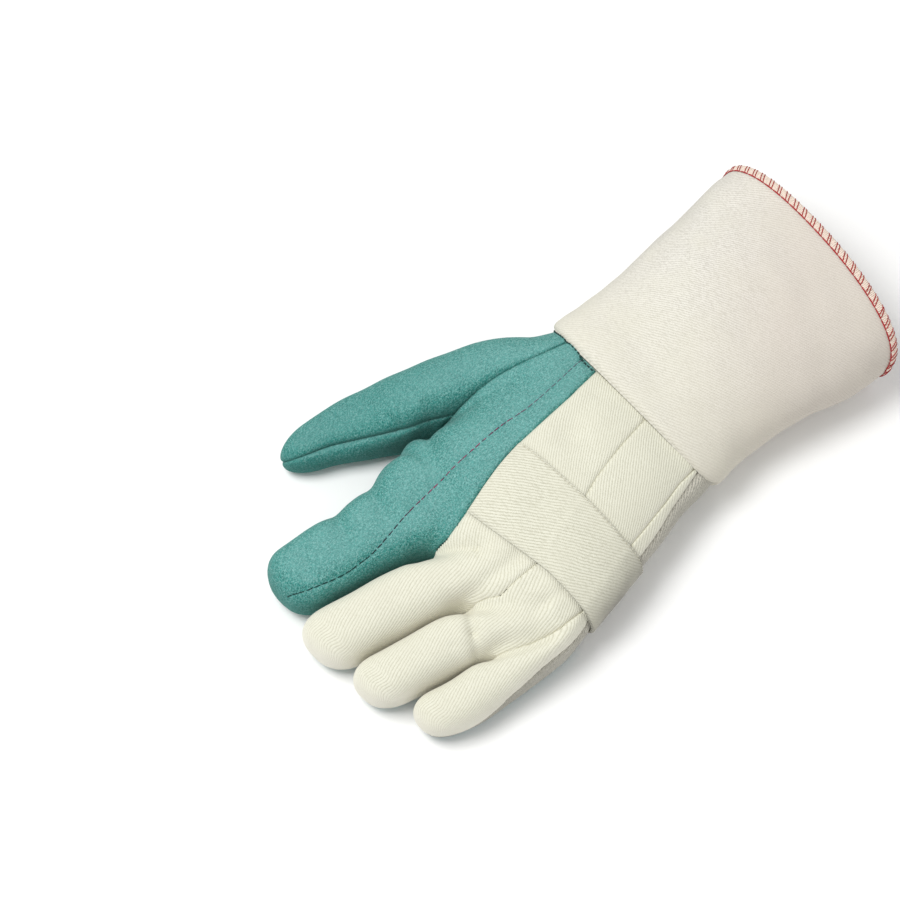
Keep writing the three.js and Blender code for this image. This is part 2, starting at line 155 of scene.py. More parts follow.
# along the index, middle, ring and little fingers
PALM_QUILTS = [
    [(-30, 8), (20, 9), (60, 14), (90, 17.5), (120, 24), (150, 29)],
    [(-30, -14), (20, -20), (60, -28), (90, -23), (120, -12), (155, -4)],
    [(-30, -36), (20, -44), (60, -58), (90, -54), (120, -42), (152, -34)],
    [(-30, -54), (20, -63), (60, -77), (90, -76), (120, -69), (142, -63)],
]

# How a seam draws the cloth in: depth and width of its narrow valley, then of the broad one round it
INDEX_PRESS = (0.5, 1.1, 0.5, 5)
STRIP_PRESS = (0.45, 0.9, 0.2, 4)
THUMB_LINE_PRESS = (1.7, 1.5, 1.6, 6)
THUMB_SEAM_PRESS = (1.1, 1.5, 0.8, 5)
BACK_QUILT_PRESS = (0.5, 0.8, 0.5, 4)
PALM_QUILT_PRESS = (0.6, 1, 0.5, 4)
SIDE_PRESS = (0.8, 1.6)
SIDE_STRIP_PRESS = (0.7, 1.6)
STRAP_EDGE_PRESS = (0.7, 1.1)

# Folds and swellings of the upper side, seen from above: from x, y, to x, y, width, depth
FOLDS = [
    (-5, 96, -22, 75, 5, 2.6),
    (-34, 100, -47, 82, 4.5, 2.2),
    (-62, 102, -75, 80, 4.5, 1.8),
    (-39.5, 66, -36.2, 90, 4, 2),
    (-46, 91, -63, 71, 3.6, 1.1),
    (-53.5, 67, -51.5, 81, 3.5, 0.6),
    (-44, 94, -64, 78, 6, 1.8),
    (-38, 97, -52, 106, 4.5, 1.6),
    (38, 88, 18, 95, 5, 1.4),
    (40, 109, 24, 116, 5, 1.4),
    (37, 38, 41, 48, 5, 2.4),
    (41, 50, 30, 54, 4, 1.6),
    (-7, -14, -12, 8, 6, 1.2),
    # creases too fine for the part's own faces
    (-9, 87, -23, 75, 1.6, 1.1),
    (-23, 75.5, -27.5, 77.5, 1.6, 0.8),
    (-36, 95, -42.5, 89.3, 2.2, 0.5),
    (-41, 98, -50, 103.8, 2, 1.4),
    (-50, 103.8, -57, 107.5, 2.2, 1.1),
    (-44, 103, -55, 112, 5, -0.9),
    (-64, 101, -57, 108.6, 2, 0.6),
    (-57, 108.6, -48.5, 114.3, 2.2, 0.8),
    (-52, 103, -62.4, 94.2, 4, 0.8),
    (-62.4, 94.2, -67.3, 81.3, 4, 0.7),
    (35, 132.5, 23, 139.5, 2.4, 0.8),
    (-62, 80, -65, 62, 2.6, 0.6),
    (40.5, 44.8, 49, 42.8, 1.9, 1.5),
    (41.5, 41.6, 46.5, 38.8, 1.7, 0.9),
    (39, 46, 37.8, 52, 2.2, 0.8),
    (51, 58, 58, 59, 1.4, 0.8),
    (32, 54, 40, 50, 1.6, 1),
    (34, 90, 22, 94.5, 2, 0.7),
    (37, 110, 27, 114, 2, 0.7),
]


# Measures and curves
def smooth(at, knots, values):
    """Values of a table at any place, on a smooth curve through its rows."""
    knots, values = np.asarray(knots, float), np.asarray(values, float)
    rise = np.gradient(values, knots)
    at = np.clip(at, knots[0], knots[-1])
    i = np.clip(np.searchsorted(knots, at) - 1, 0, len(knots) - 2)
    h = knots[i + 1] - knots[i]
    t = (at - knots[i]) / h
    near = (1 + 2 * t) * (1 - t) ** 2 * values[i] + t**2 * (3 - 2 * t) * values[i + 1]
    return near + h * (t * (1 - t) ** 2 * rise[i] - t**2 * (1 - t) * rise[i + 1])


def read(table, at, columns):
    """Smooth values of a table's columns for any value of its first one."""
    return [smooth(at, table[:, 0], table[:, column]) for column in columns]


def along(at, line):
    """The second value of a line's points at any first value."""
    return np.interp(at, *np.transpose(line))


def step(t, low, high):
    """0 below low and 1 above high, with a smooth change between."""
    t = np.clip((t - low) / (high - low), 0, 1)
    return t * t * (3 - 2 * t)


def soft_min(a, b, k):
    """The smaller of two values, with a smooth change where they are less than k apart."""
    h = np.clip(0.5 + 0.5 * (b - a) / k, 0, 1)
    return b + (a - b) * h - k * h * (1 - h)


def soft_max(a, b, k):
    return -soft_min(-a, -b, k)


def unit(vectors):
    """Vectors of length 1 that point the same way."""
    return vectors / np.maximum(np.linalg.norm(vectors, axis=-1, keepdims=True), 1e-9)


def walk(path):
    """How far along a path its points lie; each column of a grid is a path of its own."""
    steps = np.linalg.norm(np.diff(path, axis=0), axis=-1)
    return np.concatenate([np.zeros_like(steps[:1]), np.cumsum(steps, axis=0)])


def signed_power(value, power):
    return np.sign(value) * np.abs(value) ** power


def quarter_round(t):
    """0 to 1 along the rise of a quarter of a circle."""
    return np.sqrt(1 - (1 - np.clip(t, 0, 1)) ** 2)


class Noise:
    """Smooth unevenness: a sum of seeded waves with lengths between two sizes in mm."""

    def __init__(self, short, long, count=18, stretch=(1, 1, 1)):
        way = unit(RNG.normal(size=(count, 3)))
        size = short * (long / short) ** RNG.random(count)
        self.waves = 2 * math.pi * way / size[:, None] / np.asarray(stretch, float)
        self.phase = RNG.random(count) * 2 * math.pi
        self.weight = size / size.mean() / math.sqrt(count / 2)

    def __call__(self, x, y, z):
        total = 0
        for wave, phase, weight in zip(self.waves, self.phase, self.weight):
            total += weight * np.sin(wave[0] * x + wave[1] * y + wave[2] * z + phase)
        return total


# Grid, with columns that run along the lines between the fingers and their seams
def straight_line(points):
    """A line of straight pieces that gives x for each y."""
    return lambda y: along(y, points)


def outer_left(y):
    hand = smooth(y, *HAND[:, :2].T)
    finger = along(y, FINGER_LINES[:, [0, ULNAR]])
    return np.where(y < FINGER_START, hand, np.minimum(finger, hand)) - 3.5


# a seam on the back of the hand runs on as the line between two fingers
ring_line, middle_line, index_line = [
    straight_line(seam + [(row[0], row[number]) for row in FINGER_LINES[2:]])
    for seam, number in ((RING_SEAM, RING), (MIDDLE_SEAM, MIDDLE), (FLEECE_SEAM, INDEX))]
thumb_line = straight_line(THUMB_LINE)
outer_right = straight_line([(-50, 43), (-30, 46), (0, 66), (37, 84), (73, 92), (105, 95), (165, 95)])
LINES = [outer_left, ring_line, middle_line, index_line, thumb_line, outer_right]
BLOCK_WIDTHS = (27, 31, 34, 44, 40)  # between the lines, about
COLUMNS = [max(round(width / STEP), 4) for width in BLOCK_WIDTHS]
FIRST_COLUMN = np.concatenate([[0], np.cumsum(COLUMNS)])
Y = np.arange(-47.5, 164.5, STEP)
Z = np.arange(-3, 56, STEP)
BOUNDS_X = np.array([line(Y) for line in LINES])
XS = np.concatenate([
    BOUNDS_X[k] + (BOUNDS_X[k + 1] - BOUNDS_X[k]) * np.arange(n)[:, None] / n
    for k, n in enumerate(COLUMNS)
] + [BOUNDS_X[-1:]])
GX = np.repeat(XS[:, :, None], len(Z), axis=2)
GY = np.broadcast_to(Y[:, None], GX.shape)
GZ = np.broadcast_to(Z, GX.shape)


def cell_place(p):
    """Places of points in the grid, counted in columns, rows and layers."""
    x, y, z = np.moveaxis(p, -1, 0)
    bounds = np.array([line(y) for line in LINES])
    block = np.clip((x >= bounds).sum(0) - 1, 0, len(COLUMNS) - 1)
    low, high = [np.choose(number, bounds) for number in (block, block + 1)]
    i = FIRST_COLUMN[block] + (x - low) / (high - low) * np.take(COLUMNS, block)
    return i, (y - Y[0]) / STEP, (z - Z[0]) / STEP


def sample(field, p):
    """A field's values at points."""
    total = 0
    parts = []
    for value, size in zip(cell_place(p), field.shape):
        value = np.clip(value, 0, size - 1.001)
        whole = value.astype(int)
        parts.append((whole, value - whole))
    for corner in range(8):
        weight, index = 1, []
        for axis, (whole, rest) in enumerate(parts):
            up = corner >> axis & 1
            weight *= rest if up else 1 - rest
            index.append(whole + up)
        total += weight * field[tuple(index)]
    return total


def slope(field, p, reach=0.7):
    """Unit vectors out of a field's surface at points."""
    shifts = np.eye(3) * reach
    return unit(np.stack([sample(field, p + shift) - sample(field, p - shift) for shift in shifts], axis=-1))


def settle(field, p, rounds):
    """Points moved onto a field's surface."""
    for _ in range(rounds):
        p = p - np.clip(sample(field, p), -2, 2)[..., None] * slope(field, p)
    return p


# Bodies
def section(left, right, base, top):
    """An oval's middle and widest height, its half width, and how far it rises and drops from there."""
    widest = base + (top - base) * BELLY
    return (left + right) / 2, widest, (right - left) / 2, top - widest, (widest - base) * SAG


def oval(x, z, left, right, base, top, power=ROUNDNESS, tip_share=None, rounding=1):
    """Distance in mm, roughly, to an oval section with a flat underside that may close round a tip."""
    middle, widest, half, rise, drop = section(left, right, base, top)
    tall = np.where(z > widest, rise, drop)
    across, up = np.abs(x - middle) / half, np.abs(z - widest) / tall
    total = np.maximum(across**power + up**power, 1e-9)
    full = total ** (1 / power)
    push = full / total
    steep = np.hypot(across ** (power - 1) / half * push, up ** (power - 1) / tall * push)
    if tip_share is not None:
        t, m = np.maximum(tip_share, 0), TIP_ROUNDNESS
        whole = np.maximum(full**m + t**m, 1e-9) ** (1 / m)
        steep = np.hypot((full / whole) ** (m - 1) * steep, (t / whole) ** (m - 1) / rounding)
        full = whole
    return soft_max((full - 1) / np.maximum(steep, 1e-4), base - z, FLOOR_ROUND)


def hand_field(x, y, z):
    at = y
    # a slanted section is the one whose middle lies at this y
    for _ in range(2):
        left, right, slant = read(HAND, at, (1, 2, 5))
        at = y - slant * (x - (left + right) / 2)
    return np.maximum(oval(x, z, *read(HAND, at, SECTION)), at - HAND[-1, 0])


def finger_sizes(name, y):
    """A finger's sides, its height, and how far y lies into its round end, with 1 at the tip."""
    left_line, right_line, tip, rounding, top, tip_top = FINGERS[name]
    left, right = read(FINGER_LINES, y, (left_line, right_line))
    height = top + (tip_top - top) * (y - FINGER_START) / (tip - FINGER_START)
    return left, right, height, (y - (tip - rounding)) / rounding


def finger_field(name, x, y, z):
    left, right, height, tip_share = finger_sizes(name, y)
    out = np.clip((y - FINGER_START) / (ROOT_END - FINGER_START), 0, 1)
    power = ROOT_ROUNDNESS + (FINGER_ROUNDNESS - ROOT_ROUNDNESS) * out
    rounding = FINGERS[name][3]
    d = oval(x, z, left + FINGER_GAP / 2, right - FINGER_GAP / 2, 0, height, power, tip_share, rounding)
    return soft_max(d, FINGER_START - y, 8)


# The thumb's middle line, walked in small steps
THUMB_KNOTS = walk(THUMB[:, :2])
THUMB_WALK = np.linspace(0, THUMB_KNOTS[-1], 240)
THUMB_PATH = np.stack([smooth(THUMB_WALK, THUMB_KNOTS, THUMB[:, c]) for c in (0, 1)], axis=1)
THUMB_AHEAD = unit(np.gradient(THUMB_PATH, axis=0))
THUMB_REACH = walk(THUMB_PATH)
THUMB_LENGTH = THUMB_REACH[-1]


def thumb_place(x, y):
    """How far along the thumb points lie, and how far to its outer side."""
    flat = np.stack([x, y], axis=-1)
    near = ((flat[..., None, :] - THUMB_PATH) ** 2).sum(-1).argmin(-1)
    away, ahead = flat - THUMB_PATH[near], THUMB_AHEAD[near]
    side = away[..., 0] * ahead[..., 1] - away[..., 1] * ahead[..., 0]
    return THUMB_REACH[near] + (away * ahead).sum(-1), side


def thumb_sizes(forward):
    """The thumb's width, height and seam angle."""
    knots = np.linspace(0, 1, len(THUMB))
    return [smooth(forward / THUMB_LENGTH, knots, THUMB[:, c]) for c in (2, 3, 4)]


def thumb_field(forward, side, z):
    width, top, _ = thumb_sizes(forward)
    tip_share = (forward - (THUMB_LENGTH - THUMB_ROUND)) / THUMB_ROUND
    d = oval(side, z, -width / 2, width / 2, 0, top, ROUNDNESS, tip_share, THUMB_ROUND)
    return np.maximum(d, -forward - 12)


def thumb_seam(forward, side, z):
    """Distance to the slanted face between the thumb's halves, less than 0 in the inner half."""
    _, top, turn = thumb_sizes(forward)
    turn = np.radians(turn)
    return side * np.cos(turn) + (z - top * BELLY) * np.sin(turn)


flat_x, flat_y = GX[:, :, :1], GY[:, :, :1]
forward, side = thumb_place(flat_x, flat_y)
fingers = np.minimum.reduce([finger_field(name, GX, GY, GZ) for name in FINGERS])
BASE = soft_min(hand_field(GX, GY, GZ), fingers, 3)
BASE = soft_min(BASE, thumb_field(forward, side, GZ), 8 - 5 * step(forward, 0, 22))


# Shaping of the outer face: seams draw it in, and folds and stuffing make it uneven
def line_distance(x, y, line):
    """Distance seen from above to a line that gives x for each y."""
    here = line(y)
    lean = (line(y + 1) - line(y - 1)) / 2
    return np.abs(x - here) / np.sqrt(1 + lean**2)


def valley(distance, depth, width):
    return depth * np.exp(-(distance / width) ** 2)


def seam_valley(distance, depth, width, broad_depth, broad_width):
    return valley(distance, depth, width) + valley(distance, broad_depth, broad_width)


def fold_field(x, y):
    """How deep the folds are at places seen from above."""
    total = 0
    for x0, y0, x1, y1, width, depth in FOLDS:
        dx, dy = x1 - x0, y1 - y0
        share = np.clip(((x - x0) * dx + (y - y0) * dy) / (dx * dx + dy * dy), 0, 1)
        away = np.hypot(x - x0 - share * dx, y - y0 - share * dy)
        total += valley(away, depth, width)
    return total


def as_line(points):
    """A smooth line that gives x for each y."""
    return lambda y: smooth(y, *np.transpose(points))


# How much of a place is over the side seam, on the back, on the underside and off the flat underside
flat_z = GZ[:1, :1, :]
over = step(flat_z, SIDE_SEAM - 2, SIDE_SEAM + 5)
upper = step(flat_z, 11, 27)
under = 1 - step(flat_z, 3, 7)
rest = step(flat_z, 1.5, 7)
side_seam = SIDE_SEAM + SIDE_SEAM_RISE * step(-GY, 18, 28)

press = np.zeros_like(BASE)
seams = [(over, index_line, INDEX_PRESS), (over, middle_line, STRIP_PRESS), (over, ring_line, STRIP_PRESS),
         (over * step(flat_y, 158, 148), as_line(BACK_QUILT), BACK_QUILT_PRESS)]
seams += [(under * step(flat_y, 152, 140), as_line(points), PALM_QUILT_PRESS) for points in PALM_QUILTS]
for part, line, valleys in seams:
    press += part * seam_valley(line_distance(flat_x, flat_y, line), *valleys)
# the thumb's line gets shallow towards the wrist
depth, width, broad_depth, broad_width = THUMB_LINE_PRESS
fade = step(flat_y, 0, 35)
away = line_distance(flat_x, flat_y, thumb_line)
press += over * seam_valley(away, depth * (0.4 + 0.6 * fade), width, broad_depth * fade, broad_width)

halves = thumb_seam(forward, side, GZ)
in_thumb = step(GX - thumb_line(GY), -1, 3) * step(forward, 20, 34)
to_tip = 1 - 0.75 * step(forward, THUMB_LENGTH - 22, THUMB_LENGTH - 6)
press += in_thumb * rest * to_tip * seam_valley(halves, *THUMB_SEAM_PRESS)

left_part = step(index_line(GY) - GX, -2, 2)
below = 0.8 * step(side_seam - GZ, 0, 2) * step(GZ, 0.3, 1.5)
press += left_part * (valley(GZ - side_seam, *SIDE_PRESS) + below)
in_side = step(along(GY, SIDE_STRIP_LIMIT) - GX, -1, 3) * step(GY, 116, 108)
press += in_side * valley(GZ - along(GY, SIDE_STRIP_HEIGHT), *SIDE_STRIP_PRESS)
press += upper * fold_field(flat_x, flat_y)
under_strap = step(index_line(flat_y) + 1 - flat_x, 0, 2)
for edge in (STRAP_WRIST_EDGE, STRAP_FINGER_EDGE):
    press += over * under_strap * valley(flat_y - along(flat_x, edge), *STRAP_EDGE_PRESS)
stuffing = Noise(20, 60)
BASE_STUFFED = BASE + rest * UNEVEN * stuffing(GX, GY, GZ * 1.3)
OUTER = BASE_STUFFED + press
SHELL = np.maximum.reduce([OUTER, -(OUTER + HAND_WALL), HAND[0, 0] - GY])
# under the face, the cloths of a seam run together
TUCK_IN = 0.45 * step(-OUTER, 0.7, 1.8)


# Meshes
def surface_net(field, grids):
    """A mesh of quads on a field's zero surface, one corner in each cell of the grid that it passes."""
    cells = np.array(field.shape) - 1
    sums = np.zeros((cells.prod(), 4))  # of x, y, z and 1
    quads = []
    ways = np.eye(3, dtype=int)
    for axis in range(3):
        here = np.argwhere(np.diff(field < 0, axis=axis))
        start, end = tuple(here.T), tuple((here + ways[axis]).T)
        a, b = field[start], field[end]
        share = a / (a - b)
        place = np.stack([g[start] + (g[end] - g[start]) * share for g in grids] + [np.ones(len(a))], axis=1)
        u, v = np.delete(ways, axis, axis=0)
        ring = []
        for back in (0 * u, u, u + v, v):
            cell = here - back
            ok = (cell >= 0).all(1) & (cell < cells).all(1)
            number = np.where(ok, np.ravel_multi_index(cell.T, cells, mode="clip"), -1)
            ring.append(number)
            for c in range(4):
                sums[:, c] += np.bincount(number[ok], place[ok, c], len(sums))
        ring = np.stack(ring, axis=1)
        turn = (a < 0) ^ (axis == 1)
        ring = np.where(turn[:, None], ring[:, ::-1], ring)
        quads.append(ring[(ring >= 0).all(1)])
    used = np.nonzero(sums[:, 3])[0]
    number = np.full(len(sums), -1)
    number[used] = np.arange(len(used))
    return sums[used, :3] / sums[used, 3:], number[np.concatenate(quads)]


def add_object(name, data):
    item = bpy.data.objects.new(name, data)
    bpy.context.scene.collection.objects.link(item)
    return item


def build(name, points, faces, material, slot, nodes=(), uv=None):
    """A mesh of the object, kept off the floor; uv has a row for each point or each corner of a face."""
    data = bpy.data.meshes.new(name)
    faces = np.asarray(faces, np.int32)
    points = np.array(points, float)
    points[:, 2] = np.maximum(points[:, 2], 0)
    data.vertices.add(len(points))
    data.vertices.foreach_set("co", ((points - OUTLINE_MIDDLE) * MM).astype(np.float32).ravel())
    data.loops.add(faces.size)
    data.loops.foreach_set("vertex_index", faces.ravel())
    data.polygons.add(len(faces))
    data.polygons.foreach_set("loop_start", np.arange(len(faces), dtype=np.int32) * faces.shape[1])
    data.polygons.foreach_set("use_smooth", np.ones(len(faces), bool))
    data.update(calc_edges=True)
    data.validate()
    if uv is not None:
        layer = data.uv_layers.new(name="Weave")
        uv = np.asarray(uv, np.float32)
        layer.data.foreach_set("uv", (uv if uv.ndim == 3 else uv[faces]).ravel())
    data.materials.append(material)
    piece = add_object(name, data)
    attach(piece, "root")
    if nodes:
        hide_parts(*nodes)


# Materials
def colour(red, green, blue):
    """A colour for a shader from its 0 to 255 values on a screen."""
    return [((c / 255 + 0.055) / 1.055) ** 2.4 for c in (red, green, blue)] + [1]


class Nodes:
    """A material's nodes, made and joined in one call each."""

    def __init__(self, name):
        self.material = bpy.data.materials.new(name)
        self.material.use_nodes = True
        self.tree = self.material.node_tree
        self.place = self.add("TexCoord", {}, "Object")

    def set(self, socket, value):
        if isinstance(value, bpy.types.NodeSocket):
            self.tree.links.new(value, socket)
        else:
            socket.default_value = value

    def add(self, kind, inputs, output=0, **settings):
        """A new node's output; its inputs go by name or number."""
        node = self.tree.nodes.new("ShaderNode" + kind)
        for key, value in settings.items():
            setattr(node, key, value)
        for key, value in inputs.items():
            self.set(node.inputs[key], value)
        return node.outputs[output]

    def parts(self, vector):
        """A vector's x, y and z."""
        return [self.add("SeparateXYZ", {0: vector}, part) for part in range(3)]

    def weave(self):
        """Places across and along the weave, in mm."""
        return self.parts(self.add("UVMap", {}, uv_map="Weave"))[:2]

    def up(self):
        """1 where the cloth faces up, 0 where it stands."""
        return self.parts(self.add("TexCoord", {}, "Normal"))[2]

    def math(self, kind, a, b=0):
        return self.add("Math", {0: a, 1: b}, operation=kind)

    def total(self, *terms, start=0):
        """A sum of values, each times its weight."""
        for value, weight in terms:
            start = self.add("Math", {0: value, 1: weight, 2: start}, operation="MULTIPLY_ADD")
        return start

    def wave(self, turn):
        """A cosine, moved to between 0 and 1."""
        return self.total((self.math("COSINE", turn), 0.5), start=0.5)

    def noise(self, scale, detail=2, rough=0.5, turn=None):
        """Noise over the glove; a turned one has a scale for each way."""
        where = self.place
        if turn is not None:
            where = self.add("Mapping", {"Vector": where, "Rotation": turn, "Scale": scale})
            scale = 1
        inputs = {"Vector": where, "Scale": scale, "Detail": detail, "Roughness": rough}
        return self.add("TexNoise", inputs)

    def layers(self, ground, *rows):
        """Colours laid over a ground colour; rows: by what value, from, to, share at from, at to, colour."""
        tone = colour(*ground)
        for *ramp, over in rows:
            share = self.add("MapRange", dict(enumerate(ramp)), clamp=True)
            # 6, 7 and output 2 are the mixing node's sockets for colours
            tone = self.add("Mix", {0: share, 6: tone, 7: colour(*over)}, 2, data_type="RGBA")
        return tone

    def finish(self, base, bump=None, depth=0, rough=0.85, shine=0.1, sheen=0, tint=(255, 255, 255)):
        """The material, with a bump of a depth in metres."""
        values = {"Base Color": base, "Roughness": rough, "Specular IOR Level": shine,
                  "Sheen Weight": sheen, "Sheen Tint": colour(*tint)}
        if bump is not None:
            values["Normal"] = self.add("Bump", {"Height": bump, "Distance": depth})
        for key, value in values.items():
            self.set(self.tree.nodes["Principled BSDF"].inputs[key], value)
        return self.material


def fleece_material():
    """Napped cotton: a heathered ground with short matted fibres."""
    n = Nodes("fleece")
    patches, mottle = n.noise(70), n.noise(850, 3, 0.6)
    tufts, grain = n.noise(1250, 2, 0.6), n.noise(1700, 3, 0.65)
    fibres = n.noise((2200, 700, 1500), 3, 0.65, turn=(0.3, 0.2, 0.7))
    up = n.up()
    dark, light = (18, 98, 92), (158, 210, 205)
    tone = n.layers(
        dark,
        (grain, 0.36, 0.6, 0, 1, (70, 154, 146)),
        (fibres, 0.5, 0.7, 0, 0.7, light),
        (mottle, 0.32, 0.55, 0.5, 0, dark),
        (tufts, 0.5, 0.66, 0, 0.45, light),
        (patches, 0.4, 0.7, 0, 0.18, (104, 172, 163)),
        # painted highlight on faces that look up, painted shade on the sides and on the thumb
        (up, 0.78, 1, 0, 0.3, (142, 192, 189)),
        (up, 0.1, 0.82, 0.55, 0, (8, 88, 82)),
        (n.parts(n.place)[0], 0.036, 0.07, 0, 0.25, (14, 104, 98)))
    height = n.total((mottle, 0.9), (fibres, 0.7), (grain, 0.5))
    return n.finish(tone, height, 0.0006, rough=0.95, sheen=0.3, tint=(190, 225, 220))


def twill_material(name, light, dark, shade, speck=0.35, rough=1.4, side=0.5, steep=(140, 137, 128), flat=0.8,
                   warm_shade=None):
    """Cotton twill: slanted ribs of floats, each a row of slightly uneven yarns.

    speck: share of dark slubs; rough: how far fuzz breaks up the ribs; side: share of the steep colour, a
    painted light and shade, on faces that look up less than flat; warm_shade: a warmer colour, partly painted
    shade, towards the little finger's side.
    """
    n = Nodes(name)
    across, onward = n.weave()
    drift, wobble = n.noise(60), n.noise(480)
    fuzz = n.noise(1500, 3, 0.6)
    slub = n.noise((260, 1500, 900), 3, 0.6, turn=(0, 0, 0.6))
    c, s = math.cos(RIB_TURN), math.sin(RIB_TURN)
    over_rib = n.total((across, c), (onward, s), (drift, RIB_DRIFT), (wobble, RIB_WOBBLE),
                       start=-0.5 * (RIB_DRIFT + RIB_WOBBLE))
    down_rib = n.total((onward, c), (across, -s))
    turn = n.math("MULTIPLY", over_rib, 2 * math.pi / RIB_PITCH)
    rib = n.math("POWER", n.wave(turn), 0.7)
    yarn = n.wave(n.total((down_rib, 2 * math.pi / YARN_PITCH), (turn, 0.5)))
    rows = [
        (n.total((rib, 1), (fuzz, rough), start=-0.5 * rough), 0, 0.6, 0, 1, light),
        (slub, 0.34, 0.5, speck, 0, dark),
        # painted light and shade: faces that look up less than flat take the steep colour
        (n.up(), 0.05, flat, side, 0, steep),
        (drift, 0.4, 0.75, 0, 0.35, shade),
    ]
    if warm_shade is not None:
        x, y, _ = n.parts(n.place)
        # painted shade, in part: a warmer, darker colour towards the little finger's side and the rim
        rows.append((n.total((x, -1), (y, -0.6)), 0.05, 0.11, 0, 0.75, warm_shade))
        rows.append((y, -0.1, -0.04, 0, 0.5, shade))
    height = n.total((rib, 1), (yarn, 0.3), (fuzz, 0.8))
    return n.finish(n.layers(dark, *rows), height, 0.00013, rough=0.9, shine=0.2, sheen=0.12)


def binding_material():
    """Overlock stitching: pale threads side by side across the edge."""
    n = Nodes("binding")
    fuzz = n.noise(2400, 3, 0.6)
    onward = n.total((n.noise(700), 0.9), (n.weave()[0], 1))
    thread = n.wave(n.math("MULTIPLY", onward, 2 * math.pi / OVERLOCK_PITCH))
    tone = n.layers(
        (238, 212, 194),
        (thread, 0.1, 0.8, 0, 1, (248, 237, 222)),
        (fuzz, 0.35, 0.5, 0.3, 0, (236, 190, 172)))
    height = n.total((thread, 1), (fuzz, 0.4))
    return n.finish(tone, height, 0.0003, rough=0.8, shine=0.25, sheen=0.1)


def thread_material(name, light, dark):
    """Twisted sewing thread."""
    n = Nodes(name)
    twist = n.noise(3000, 2, 0.6)
    tone = n.layers(dark, (twist, 0.35, 0.65, 0, 1, light))
    return n.finish(tone, twist, 0.0001, rough=0.6, shine=0.3, sheen=0.1)


def quilting_material():
    """Quilting thread: pale near the wrist, red on the hand, and dark towards the fingertip."""
    n = Nodes("quilting")
    y = n.parts(n.place)[1]
    twist = n.noise(900, 2, 0.6)
    tone = n.layers(
        (66, 44, 70),
        (twist, 0.4, 0.6, 0, 1, (156, 36, 92)),
        (y, 0, 0.03, 1, 0, (96, 112, 120)),
        (y, 0.075, 0.09, 0, 1, (48, 34, 52)),
        (y, 0.098, 0.112, 0, 1, (10, 50, 48)))
    return n.finish(tone, twist, 0.0001, rough=0.7, shine=0.2, sheen=0.1)


FLEECE = fleece_material()
# the plain twill's steep colour is paler, a painted light against the shade between the fingers; the strap's,
# side strip's and cuff's is the darker grey, a painted shade
TWILL = twill_material("twill", (224, 223, 206), (200, 198, 178), (214, 212, 194), steep=(244, 240, 230))
STRAP_TWILL = twill_material("strap_twill", (223, 222, 205), (190, 188, 168), (212, 210, 192), 0.5, 1.6, 0.95,
                             flat=0.93)
# the side strip's twill: rougher and greyer cloth, with part of its darkness painted shade
SIDE_TWILL = twill_material("side_twill", (206, 203, 190), (150, 147, 136), (186, 183, 172), 0.8, 3, 0.4)
CUFF_TWILL = twill_material("cuff_twill", (229, 226, 217), (194, 190, 179), (216, 213, 196), 0.7, 2.2, 0.6,
                            flat=0.88, warm_shade=(209, 200, 189))
BINDING = binding_material()
QUILTING_THREAD = quilting_material()
RIM_THREAD = thread_material("rim_thread", (198, 40, 38), (104, 20, 24))
BASE_THREAD = thread_material("base_thread", (196, 30, 36), (124, 16, 24))
PALE_THREAD = thread_material("pale_thread", (232, 229, 212), (170, 164, 142))
DARK_THREAD = thread_material("dark_thread", (26, 74, 68), (10, 34, 34))


# Cloth of the hand
def region(*limits):
    """A region's field: less than 0 inside all its limits, and off its seams by their gap."""
    return np.maximum.reduce(limits) + SEAM_GAP


def arc_table(half, rise, drop, count=97):
    """Length round an oval from its top to evenly spaced angles, from the left foot to the right."""
    angle = np.linspace(math.pi * 1.5, -math.pi * 0.5, count)
    across = signed_power(np.cos(angle), 2 / ROUNDNESS) * half
    up = signed_power(np.sin(angle), 2 / ROUNDNESS)
    length = walk(np.stack([across, up * np.where(up > 0, rise, drop)], axis=1))
    return length - length[count // 2]


def arc_on(x, z, sides):
    """Length from a section's top to points near it: along a middle-sized one, then in proportion."""
    middle, widest, half, rise, drop = section(*sides)
    across = signed_power((x - middle) / half, ROUNDNESS / 2)
    up = signed_power((z - widest) / np.where(z > widest, rise, drop), ROUNDNESS / 2)
    angle = np.arctan2(up, across)
    angle = np.where(angle < -math.pi / 2, angle + 2 * math.pi, angle)
    table = arc_table(np.mean(half), np.mean(rise), np.mean(drop))
    place = (math.pi * 1.5 - angle) / (2 * math.pi) * (len(table) - 1)
    return np.interp(place, np.arange(len(table)), table) * half / np.mean(half)


def strip_middle(y, name):
    """x of the middle of a strip on the back of the hand."""
    if name == "middle":
        return (middle_line(y) + index_line(y)) / 2
    if name == "ring":
        return (ring_line(y) + middle_line(y)) / 2
    # the last strip keeps to its seam on the hand and to its own middle on the finger
    at_seam = ring_line(y) - 3
    on_finger = (along(y, FINGER_LINES[:, [0, ULNAR]]) + ring_line(y)) / 2
    return at_seam + (on_finger - at_seam) * step(y, 40, 75)


def strip_weave(points, name):
    """Places on a strip that runs on as a finger's back: across it, from its middle, and along it."""
    x, y, z = points.T
    _, _, tip, rounding, _, tip_top = FINGERS[name]
    centre = strip_middle(y, name)
    hand = read(HAND, y, SECTION)
    middle, widest, half, rise, _ = section(*hand)
    share = np.clip(np.abs(centre - middle) / half, 0, 1)
    centre_z = widest + rise * (1 - share**ROUNDNESS) ** (1 / ROUNDNESS)
    on_hand = arc_on(x, z, hand) - arc_on(centre, centre_z, hand)
    left, right, height, past = finger_sizes(name, y)
    on_finger = arc_on(x, z, (left, right, 0, height))
    share = step(y, FINGER_START, 88)
    past = np.clip(past, 0, 1)
    onward = np.where(past > 0, tip - rounding + np.arcsin(past) * rounding * 1.15, y)
    # over the fingertip the cloth turns down, and its threads stay parallel
    end = step(past, 0.3, 0.95)
    across = (on_hand * (1 - share) + on_finger * share) * (1 - end) + (x - (left + right) / 2) * end
    return np.stack([across, onward - (z - tip_top * BELLY) * end], axis=1)


